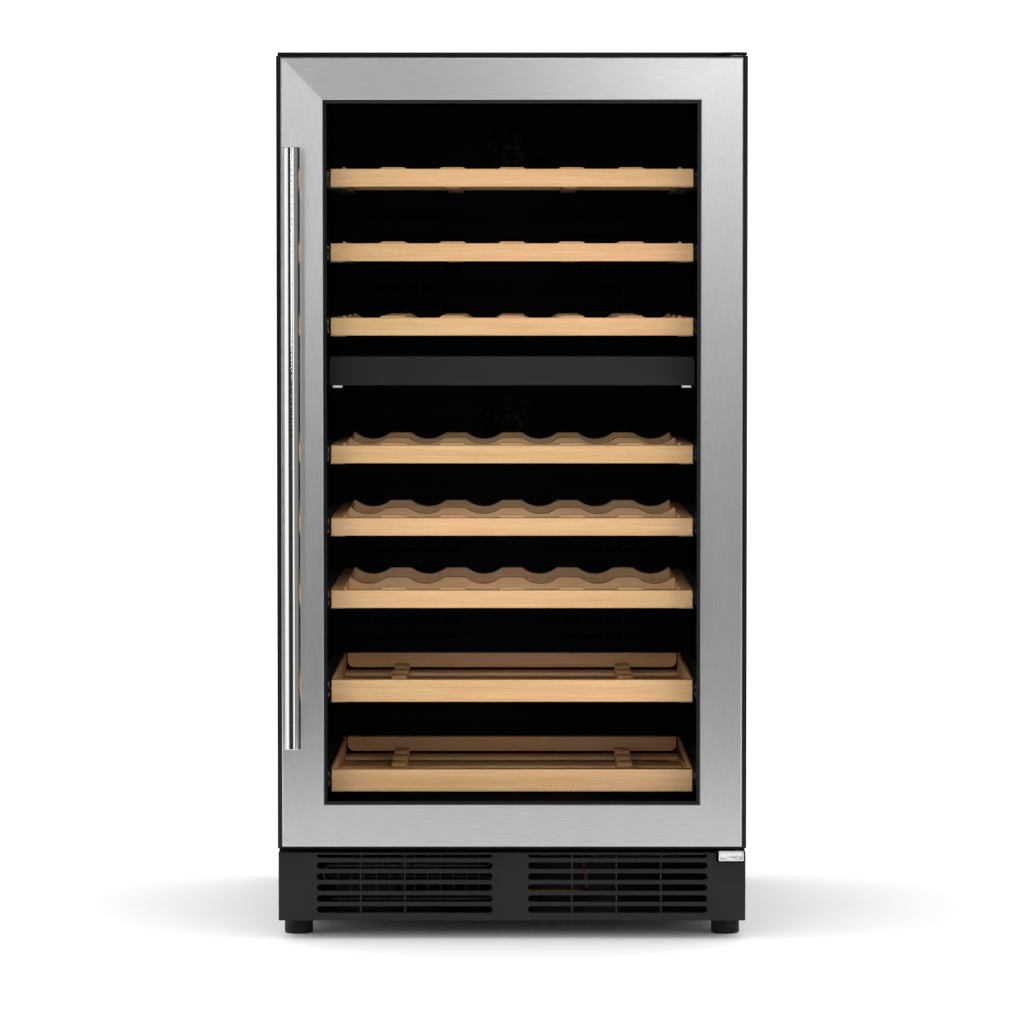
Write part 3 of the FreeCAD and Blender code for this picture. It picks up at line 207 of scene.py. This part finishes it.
def polishedTube():
    # drawn stainless tube, buffed to a near mirror: crisp upright reflections, a trace of draw lines
    material, tree, surface = startMaterial("polished stainless tube", "#dcdbd9", 0.08, 1.0)
    place = placeOn(tree, 0.8, (1, 1, 200))
    lines = addNode(tree, "ShaderNodeTexNoise", {"Scale": 1.0, "Detail": 2.0}, {"Vector": place})
    greys = ((0.3, "#d6d5d3"), (0.7, "#e0dfdd"))
    gloss = {**noiseRange, "To Min": 0.075, "To Max": 0.09}
    linkTo(tree, surface, {
        "Base Color": addNode(tree, "ShaderNodeValToRGB", None, {"Fac": lines}, greys),
        "Roughness": addNode(tree, "ShaderNodeMapRange", gloss, {"Value": lines}),
    })
    return material


def drawnMetal(name, colour, dark, roughness, size, stretch):
    # drawn, rolled or plated metal: bright, with faint lines along the way it was worked
    material, tree, surface = startMaterial(name, colour, roughness, 1.0)
    place = placeOn(tree, size, stretch)
    lines = addNode(tree, "ShaderNodeTexNoise", {"Scale": 1.0, "Detail": 3.0}, {"Vector": place})
    gloss = {**noiseRange, "To Min": roughness + 0.05, "To Max": roughness - 0.03}
    linkTo(tree, surface, {
        "Base Color": addNode(tree, "ShaderNodeValToRGB", None, {"Fac": lines}, ((0.3, dark), (0.7, colour))),
        "Roughness": addNode(tree, "ShaderNodeMapRange", gloss, {"Value": lines}),
    })
    return material


def mouldedPlastic(name, colour, light, roughness, grit, depth=0.05, ior=1.53, specular=0.5):
    # moulded plastic with the spark-eroded texture of its tool: matte, even, very slightly cloudy
    material, tree, surface = startMaterial(name, colour, roughness, 0.0, ior)
    surface.inputs["Specular IOR Level"].default_value = specular
    texture = addNode(tree, "ShaderNodeTexNoise", {"Scale": 1.0, "Detail": 3.0, "Roughness": 0.6},
                      {"Vector": placeOn(tree, grit)})
    cloud = addNode(tree, "ShaderNodeTexNoise", {"Scale": 1.0, "Detail": 2.0},
                    {"Vector": placeOn(tree, 90.0)})
    gloss = {**noiseRange, "To Min": roughness - 0.06, "To Max": roughness + 0.06}
    linkTo(tree, surface, {
        "Base Color": addNode(tree, "ShaderNodeValToRGB", None, {"Fac": cloud},
                              ((0.3, colour), (0.7, light))),
        "Roughness": addNode(tree, "ShaderNodeMapRange", gloss, {"Value": texture}),
        "Normal": addNode(tree, "ShaderNodeBump", {"Strength": 0.6, "Distance": mm(depth)},
                          {"Height": texture}),
    })
    return material


def extrudedRubber():
    # soft PVC gasket, extruded: dull black, faintly streaked
    material, tree, surface = startMaterial("extruded PVC rubber", "#08080a", 0.5, 0.0, 1.52)
    surface.inputs["Specular IOR Level"].default_value = 0.25
    lines = addNode(tree, "ShaderNodeTexNoise", {"Scale": 1.0, "Detail": 2.0}, {"Vector": placeOn(tree, 2.0)})
    blacks = ((0.3, "#060607"), (0.7, "#0b0b0c"))
    linkTo(tree, surface, {
        "Base Color": addNode(tree, "ShaderNodeValToRGB", None, {"Fac": lines}, blacks),
        "Normal": addNode(tree, "ShaderNodeBump", {"Strength": 0.4, "Distance": mm(0.04)}, {"Height": lines}),
    })
    return material


def floatGlass():
    # clear float glass: nearly all light goes straight through, and a little is mirrored at a slant
    material = bpy.data.materials.new("float glass")
    material.use_nodes = True
    tree = material.node_tree
    tree.nodes.remove(tree.nodes["Principled BSDF"])
    # a soft grey-green tint of one pane, a little stronger in broad clouds of its metal-oxide film
    film = addNode(tree, "ShaderNodeTexNoise", {"Scale": 1.0, "Detail": 1.0},
                   {"Vector": placeOn(tree, 260.0)})
    tint = addNode(tree, "ShaderNodeValToRGB", None, {"Fac": film}, ((0.3, "#fbfcfb"), (0.7, "#fdfdfd")))
    clear = addNode(tree, "ShaderNodeBsdfTransparent", None, {"Color": tint})
    mirror = addNode(tree, "ShaderNodeBsdfGlossy", {"Color": (1, 1, 1, 1), "Roughness": 0.02})
    # coated panes mirror far less than bare glass, whose IOR is 1.52
    share = addNode(tree, "ShaderNodeFresnel", {"IOR": 1.08})
    glass = addNode(tree, "ShaderNodeMixShader", None, {0: share, 1: clear, 2: mirror})
    tree.links.new(glass.outputs[0], tree.nodes["Material Output"].inputs["Surface"])
    return material


def solidBeech():
    # steamed European beech, planed and lacquered: pale pink-brown, straight grain, short dark rays
    material, tree, surface = startMaterial("lacquered beech", "#dcae7c", 0.42, 0.0, 1.5)
    grain = addNode(tree, "ShaderNodeAttribute", attribute_name="grain").outputs["Vector"]

    def along(length, width):
        scale = (1 / mm(length), 1 / mm(width), 1 / mm(width))
        return addNode(tree, "ShaderNodeMapping", {"Scale": scale}, {"Vector": grain})

    growth = addNode(tree, "ShaderNodeTexNoise", {"Scale": 1.0, "Detail": 3.0, "Roughness": 0.55},
                     {"Vector": along(420.0, 9.0)})
    fibre = addNode(tree, "ShaderNodeTexNoise", {"Scale": 1.0, "Detail": 4.0, "Roughness": 0.6},
                    {"Vector": along(60.0, 1.6)})
    # beech rays are 2 mm by 0.3 mm; they are drawn 7 mm by 1.3 mm to show
    rays = addNode(tree, "ShaderNodeTexVoronoi", {"Scale": 1.0}, {"Vector": along(7.0, 1.3)})
    inside = {"From Min": 0.12, "From Max": 0.3, "To Min": 1.0, "To Max": 0.0}
    ray = addNode(tree, "ShaderNodeMapRange", inside, {"Value": rays})
    darkening = {"From Min": 0.0, "From Max": 1.0, "To Min": 0.0, "To Max": 0.35}
    depth = addNode(tree, "ShaderNodeMapRange", darkening, {"Value": ray})
    base = addNode(tree, "ShaderNodeValToRGB", None, {"Fac": growth}, ((0.34, "#e0a76d"), (0.66, "#efc08e")))
    streaks = addNode(tree, "ShaderNodeValToRGB", None, {"Fac": fibre}, ((0.3, "#dba167"), (0.72, "#f5cda0")))
    blend = addNode(tree, "ShaderNodeMix", {"Factor": 0.45}, {"A": base, "B": streaks}, data_type="RGBA")
    dark = addNode(tree, "ShaderNodeMix", {"B": linearColour("#a8703e")},
                   {"Factor": depth, "A": blend.outputs["Result"]}, data_type="RGBA")
    tree.links.new(dark.outputs["Result"], surface.inputs["Base Color"])
    gloss = {**noiseRange, "To Min": 0.36, "To Max": 0.5}
    linkTo(tree, surface, {
        "Roughness": addNode(tree, "ShaderNodeMapRange", gloss, {"Value": fibre}),
        "Normal": addNode(tree, "ShaderNodeBump", {"Strength": 0.3, "Distance": mm(0.05)}, {"Height": fibre}),
    })
    return material


def boardLaminate():
    # glass-epoxy circuit board under green solder mask, with copper tracks showing paler
    material, tree, surface = startMaterial("solder-masked board", "#14532f", 0.35, 0.0, 1.55)
    tracks = {"Scale": 1.0, "Color1": linearColour("#14532f"), "Color2": linearColour("#185c35"),
              "Mortar": linearColour("#2c7a4a"), "Mortar Size": 0.06, "Brick Width": 3.0, "Row Height": 1.2}
    linkTo(tree, surface, {
        "Base Color": addNode(tree, "ShaderNodeTexBrick", tracks, {"Vector": placeOn(tree, 2.5)}),
    })
    return material


def blownFoam():
    # poured polyurethane foam: cream, with closed cells
    material, tree, surface = startMaterial("polyurethane foam", "#e2d3a4", 0.85)
    cells = addNode(tree, "ShaderNodeTexVoronoi", {"Scale": 1.0}, {"Vector": placeOn(tree, 2.0)})
    creams = ((0.1, "#cdbb86"), (0.6, "#e8dcb2"))
    linkTo(tree, surface, {
        "Base Color": addNode(tree, "ShaderNodeValToRGB", None, {"Fac": cells}, creams),
        "Normal": addNode(tree, "ShaderNodeBump", {"Strength": 0.6, "Distance": mm(0.4)}, {"Height": cells}),
    })
    return material


finishes = {
    "black_steel": powderCoat("black powder-coated steel", "#060607", "#09090a", 0.4, 0.22),
    "galvanised_steel": galvanisedSheet(),
    "brushed_stainless": brushedStainless(),
    "polished_stainless": polishedTube(),
    "hinge_steel": drawnMetal("nickel-plated steel", "#e4e3e0", "#d2d0cc", 0.26, 3.0, (6, 1, 1)),
    "steel_runner": drawnMetal("zinc-plated rolled steel", "#b9bdc0", "#9fa4a8", 0.34, 2.0, (1, 40, 1)),
    "screw_steel": drawnMetal("zinc-plated screw steel", "#c4c6c7", "#a9acae", 0.3, 1.0, (1, 1, 1)),
    "black_abs": mouldedPlastic("moulded black ABS", "#060607", "#09090a", 0.36, 0.9, 0.03, 1.53, 0.22),
    "black_plinth": mouldedPlastic("moulded black polypropylene", "#0f0f10", "#151516", 0.5, 1.4, 0.12, 1.49,
                                   0.3),
    "grey_fascia": mouldedPlastic("satin-painted ABS", "#232426", "#28292b", 0.5, 0.8, 0.02, 1.53, 0.2),
    "black_liner": mouldedPlastic("vacuum-formed black polystyrene", "#030304", "#050506", 0.55, 1.2, 0.06,
                                  1.59, 0.06),
    "pu_foam": blownFoam(),
    "circuit_board": boardLaminate(),
    "light_lens": mouldedPlastic("frosted polycarbonate", "#e9ecee", "#f5f6f7", 0.4, 0.6, 0.02, 1.58),
    "black_enamel": powderCoat("black stove enamel", "#0c0c0d", "#131314", 0.3),
    # the fins' near-black grey is partly the colour of an epoxy coat and partly painted shade, so that the
    # unlit inside of the cabinet reads black
    "fin_aluminium": drawnMetal("epoxy-coated fin aluminium darkened as painted shade", "#26282a", "#1c1e1f", 0.45, 2.0, (30, 1, 1)),
    "copper": drawnMetal("drawn copper tube", "#c98563", "#a9613f", 0.28, 2.5, (1, 1, 1)),
    "grey_tray": mouldedPlastic("moulded grey polypropylene", "#6f7376", "#7b7f82", 0.5, 1.0),
    "black_rubber": extrudedRubber(),
    "nylon": mouldedPlastic("machined natural nylon", "#d9d5c8", "#e4e0d4", 0.45, 0.8, 0.03),
    "glass": floatGlass(),
    "spacer": mouldedPlastic("black butyl spacer", "#0b0b0c", "#101011", 0.6, 1.0),
    "beech": solidBeech(),
}
for name, node in nodes.items():
    node.data.materials[0] = finishes[slotOfNode[name]]
print("materials made:", len(finishes))


# copies of the sheet, moulded and wooden parts with the small edge radius that each was made with
edgeRadius = {  # millimetres
    "side_panel_left": 1.0, "side_panel_right": 1.0, "top_cover": 0.8, "face_frame": 0.3, "kick_grille": 0.5,
    "control_panel": 0.6, "hinge_brackets": 0.8, "door_core": 0.7, "door_gasket": 0.6,
    "rear_cover": 0.25, "power_inlet": 0.4, "zone_divider": 0.8, "interior_lights": 0.5, "glazing_bead": 0.25,
    "foot_front_left": 0.8, "foot_front_right": 0.8, "foot_rear_left": 0.8, "foot_rear_right": 0.8,
    "hinge_cap": 0.3, "fan_shrouds": 0.5,
}
rounding = {"segments": 2, "weld": 0.005, "flat": 0.5, "sharp": 40, "smooth": 32}  # millimetres and degrees
# the divider has a black moulded skin over its foam, and the hinge plates are painted
skin = {"zone_divider": "black_liner", "hinge_brackets": "black_steel"}


def islands(mesh):
    # the vertices of each separate bar, found along the mesh's edges
    root = list(range(len(mesh.vertices)))

    def find(i):
        while root[i] != i:
            root[i] = root[root[i]]
            i = root[i]
        return i

    for edge in mesh.edges:
        a, b = (find(i) for i in edge.vertices)
        root[a] = b
    groups = {}
    for i in range(len(root)):
        groups.setdefault(find(i), []).append(i)
    return list(groups.values())


# the sanded edge in millimetres, and how far along the plank the next bar is cut, in metres
wood = {"edge": 0.9, "step": (0.37, 0.05, 0.11)}


def layGrain(piece):
    # grain runs along each bar's longest side, and every bar is cut from its own stretch of plank
    mesh = piece.data
    attribute = mesh.attributes.new("grain", "FLOAT_VECTOR", "POINT")
    for number, members in enumerate(islands(mesh)):
        points = [mesh.vertices[i].co for i in members]
        spans = [max(p[axis] for p in points) - min(p[axis] for p in points) for axis in range(3)]
        order = sorted(range(3), key=lambda axis: -spans[axis])
        for i, point in zip(members, points):
            attribute.data[i].vector = [point[axis] + step * number
                                        for axis, step in zip(order, wood["step"])]


def softenedCopy(node, radius):
    piece = bpy.data.objects.new(node + "_finished", nodes[node].data.copy())
    bpy.context.scene.collection.objects.link(piece)
    selectOnly(piece)
    bpy.ops.object.mode_set(mode="EDIT")
    bpy.ops.mesh.select_all(action="SELECT")
    bpy.ops.mesh.customdata_custom_splitnormals_clear()
    bpy.ops.mesh.remove_doubles(threshold=mm(rounding["weld"]))
    bpy.ops.mesh.dissolve_limited(angle_limit=math.radians(rounding["flat"]))
    bpy.ops.object.mode_set(mode="OBJECT")
    applyModifier(piece, "BEVEL", width=mm(radius), segments=rounding["segments"], limit_method="ANGLE",
                  angle_limit=math.radians(rounding["sharp"]), use_clamp_overlap=True,
                  miter_outer="MITER_ARC")
    bpy.ops.object.shade_smooth_by_angle(angle=math.radians(rounding["smooth"]))
    return settle(piece, node + "_finished", bodyOfNode[node], skin.get(node, slotOfNode[node]), node)


for node, radius in edgeRadius.items():
    softenedCopy(node, radius)
print("edges rounded:", len(edgeRadius))

for node in sorted(name for name in nodes if name.endswith("_wood")):
    layGrain(softenedCopy(node, wood["edge"]))
print("shelves and trays finished")


# door face
steelFace = {  # millimetres
    "bar": 54.2, "sheet": 0.8,
    "outer": {"return": 5.0, "edge": 2.2},
    "inner": {"return": 1.4, "edge": 1.35},
    "edgeSegments": 4, "flatness": 75, "tolerance": 0.1,
}


def doorFace():
    centre = (doorLow + doorHigh) / 2
    size = doorHigh - doorLow
    bpy.ops.object.select_all(action="DESELECT")
    bpy.ops.mesh.primitive_plane_add(size=1, location=(centre.x, doorLow.y, centre.z),
                                     rotation=(math.pi / 2, 0, 0))
    face = bpy.context.object
    face.scale = (size.x, size.z, 1)
    bpy.ops.object.transform_apply(location=True, rotation=True, scale=True)
    bpy.ops.object.mode_set(mode="EDIT")
    bpy.ops.mesh.select_all(action="SELECT")
    bpy.ops.mesh.inset(thickness=mm(steelFace["bar"]))
    bpy.ops.mesh.delete(type="FACE")
    innerX, innerZ = size.x / 2 - mm(steelFace["bar"]), size.z / 2 - mm(steelFace["bar"])
    near = mm(steelFace["tolerance"])

    def onRim(point, halfX, halfZ):
        offX, offZ = abs(point.x - centre.x), abs(point.z - centre.z)
        return abs(offX - halfX) < near or abs(offZ - halfZ) < near

    for halfX, halfZ, rim in ((size.x / 2, size.z / 2, "outer"), (innerX, innerZ, "inner")):
        onEdge = lambda p: onRim(p, halfX, halfZ) and p.y < doorLow.y + near
        pick(face, "EDGE", onEdge)  # fold the rim back, then roll its edge
        fold = (0, mm(steelFace[rim]["return"]), 0)
        bpy.ops.mesh.extrude_edges_move(TRANSFORM_OT_translate={"value": fold})
        pick(face, "EDGE", onEdge)
        bpy.ops.mesh.bevel(offset=mm(steelFace[rim]["edge"]), segments=steelFace["edgeSegments"])
    bpy.ops.mesh.select_all(action="SELECT")
    bpy.ops.mesh.normals_make_consistent(inside=False)
    bpy.ops.object.mode_set(mode="OBJECT")
    applyModifier(face, "SOLIDIFY", thickness=mm(steelFace["sheet"]), offset=-1.0)
    bpy.ops.object.shade_smooth_by_angle(angle=math.radians(40))
    # the bars stay optically flat
    applyModifier(face, "WEIGHTED_NORMAL", weight=steelFace["flatness"], keep_sharp=True)
    grain = face.data.uv_layers.new(name="grain")
    for polygon in face.data.polygons:
        middle = polygon.center - centre
        upright = abs(middle.x) - size.x / 2 > abs(middle.z) - size.z / 2
        for loop in polygon.loop_indices:
            point = face.data.vertices[face.data.loops[loop].vertex_index].co
            grain.data[loop].uv = (point.z, point.x) if upright else (point.x, point.z)
    settle(face, "door_face", "door", "brushed_stainless", "door_skin")


doorFace()
print("door face made")


# handle
handleTube = {  # millimetres
    "sides": 96, "rim": 0.9, "rimSegments": 3,
    "plugInset": 2.0, "plugStep": 0.25, "plugSink": 0.3, "flatness": 100, "tolerance": 0.2,
}


def handle():
    low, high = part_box("handle_bar")
    radius, middle = (high.x - low.x) / 2, (low + high) / 2
    bpy.ops.object.select_all(action="DESELECT")
    bpy.ops.mesh.primitive_cylinder_add(vertices=handleTube["sides"], radius=radius,
                                        depth=high.z - low.z, location=middle)
    tube = bpy.context.object
    bpy.ops.object.transform_apply(location=True, rotation=True, scale=True)
    ends = lambda p: min(abs(p.z - low.z), abs(p.z - high.z)) < mm(0.01)
    pick(tube, "FACE", ends)
    bpy.ops.mesh.inset(thickness=mm(handleTube["plugInset"]))
    bpy.ops.mesh.inset(thickness=mm(handleTube["plugStep"]), depth=-mm(handleTube["plugSink"]))
    rimRadius = radius - mm(handleTube["tolerance"])
    pick(tube, "EDGE", lambda p: ends(p) and (p.xy - middle.xy).length > rimRadius)
    bpy.ops.mesh.bevel(offset=mm(handleTube["rim"]), segments=handleTube["rimSegments"])
    bpy.ops.object.mode_set(mode="OBJECT")
    bpy.ops.object.shade_smooth_by_angle(angle=math.radians(35))
    # the wall stays straight up to its rims
    applyModifier(tube, "WEIGHTED_NORMAL", weight=handleTube["flatness"], keep_sharp=True)
    settle(tube, "handle_tube", "door", "polished_stainless", "handle_bar")


handle()
print("handle made")


# camera, floor and lights
view = {"distance": 6.0, "height": 0.84408, "tilt": 2.8085, "lens": 166.26, "sensor": 36, "reach": 200}


def placeCamera():
    camera = bpy.data.objects.new("camera", bpy.data.cameras.new("camera"))
    bpy.context.scene.collection.objects.link(camera)
    camera.location = (0, doorLow.y - view["distance"], view["height"])
    camera.rotation_euler = (math.radians(90 - view["tilt"]), 0, 0)
    camera.data.lens, camera.data.sensor_width = view["lens"], view["sensor"]
    camera.data.clip_end = view["reach"]
    bpy.context.scene.camera = camera


floor = {"size": 3.7, "colour": "#f9f9f9", "roughness": 0.6}  # metres across
lamps = {  # what it lights, place, aim, width and height in metres, power in watts
    "leftFill": ("matte", (-2.0, -4.6, 1.65), (0, -0.3, 0.8), 1.0, 2.0, 24),
    "rightFill": ("matte", (2.1, -4.4, 1.75), (0, -0.3, 0.8), 1.0, 2.0, 24),
    "sideFill": ("matte", (-3.4, -1.0, 1.2), (0, -0.4, 1.1), 1.2, 2.4, 14),
    "lowFill": ("matte", (0.0, -3.0, 1.0), (0, -0.3, 0.3), 1.4, 0.4, 8),
    "crown": ("gloss", (0.8, -6.4, 1.95), (0, -0.3, 0.8), 0.9, 1.0, 24),
    "keyLeft": ("gloss", (-1.2, -4.4, 1.9), (0, -0.3, 0.9), 0.4, 1.0, 7),
    "glowLeft": ("gloss", (-0.8, -6.3, 0.95), (0, -0.3, 0.9), 0.3, 0.6, 5),
    "glowRight": ("gloss", (0.8, -6.3, 1.05), (0, -0.3, 0.9), 0.3, 0.6, 1.2),
}
# how bright the tent looks in mirrored rays, by degrees round from the door and up from the floor
tentRound = ((-180, 0.25), (-125, 0.3), (-108, 0.85), (-58, 0.9), (-48, 0.3), (-40, 0.02), (-8, 0.02),
             (4, 0.03), (10, 0.25), (14, 0.95), (26, 0.95), (34, 0.25), (48, 0.18), (68, 0.22), (86, 0.14),
             (106, 0.26), (133, 0.18), (180, 0.25))
tentUp = ((-90, 0.6), (-20, 0.6), (-12, 0.9), (5, 0.9), (9, 0.1), (30, 0.1), (50, 1.0), (90, 1.0))
tentStrength = {"mirrored": 1.6, "matte": 1.28}


def layFloor():
    bpy.ops.object.select_all(action="DESELECT")
    bpy.ops.mesh.primitive_plane_add(size=floor["size"], location=(0, 0, 0))
    ground = bpy.context.object
    ground.name = "floor"
    material, tree, surface = startMaterial("white studio floor", floor["colour"], floor["roughness"])
    surface.inputs["Specular IOR Level"].default_value = 0.0  # no mirror image of the object
    ground.data.materials.append(material)


def byAngle(tree, angle, span, stops):
    # a ramp over an angle in radians, with its stops in degrees
    reach = {"From Min": -math.radians(span), "From Max": math.radians(span)}
    share = addNode(tree, "ShaderNodeMapRange", reach, {"Value": angle})
    levels = [((degrees / span + 1) / 2, level) for degrees, level in stops]
    return addNode(tree, "ShaderNodeValToRGB", None, {"Fac": share}, levels)


def setLights():
    for name, (kind, place, aim, width, height, power) in lamps.items():
        lamp = bpy.data.lights.new(name, "AREA")
        lamp.shape, lamp.size, lamp.size_y, lamp.energy = "RECTANGLE", width, height, power
        holder = bpy.data.objects.new(name, lamp)
        holder.location = place
        holder.visible_camera = False
        holder.visible_glossy = kind == "gloss"
        holder.visible_diffuse = kind == "matte"
        holder.rotation_euler = (Vector(aim) - Vector(place)).to_track_quat("-Z", "Y").to_euler()
        bpy.context.scene.collection.objects.link(holder)


def setWorld():
    world = bpy.data.worlds.new("studio")
    world.use_nodes = True
    bpy.context.scene.world = world
    tree = world.node_tree
    tree.nodes.clear()
    # a white tent all round, with gaps between its panels that only polished metal shows
    outward = addNode(tree, "ShaderNodeTexCoord").outputs["Generated"]
    way = addNode(tree, "ShaderNodeSeparateXYZ", None, {"Vector": outward})
    front = addNode(tree, "ShaderNodeMath", {1: -1.0}, {0: way.outputs["Y"]}, operation="MULTIPLY")
    around = addNode(tree, "ShaderNodeMath", None, {0: way.outputs["X"], 1: front}, operation="ARCTAN2")
    upward = addNode(tree, "ShaderNodeMath", None, {0: way.outputs["Z"]}, operation="ARCSINE")
    ramps = {"A": byAngle(tree, around, 180, tentRound), "B": byAngle(tree, upward, 90, tentUp)}
    panels = addNode(tree, "ShaderNodeMix", {"Factor": 1.0}, ramps, data_type="RGBA", blend_type="MULTIPLY")
    matte = addNode(tree, "ShaderNodeBackground", {"Color": (1, 1, 1, 1), "Strength": tentStrength["matte"]})
    mirrored = addNode(tree, "ShaderNodeBackground", {"Strength": tentStrength["mirrored"]},
                       {"Color": panels.outputs["Result"]})
    glossy = addNode(tree, "ShaderNodeLightPath").outputs["Is Glossy Ray"]
    mix = addNode(tree, "ShaderNodeMixShader", None, {0: glossy, 1: matte, 2: mirrored})
    addNode(tree, "ShaderNodeOutputWorld", None, {"Surface": mix})
    bpy.context.scene.view_settings.view_transform = "Standard"


placeCamera()
layFloor()
setLights()
setWorld()
print("studio set")
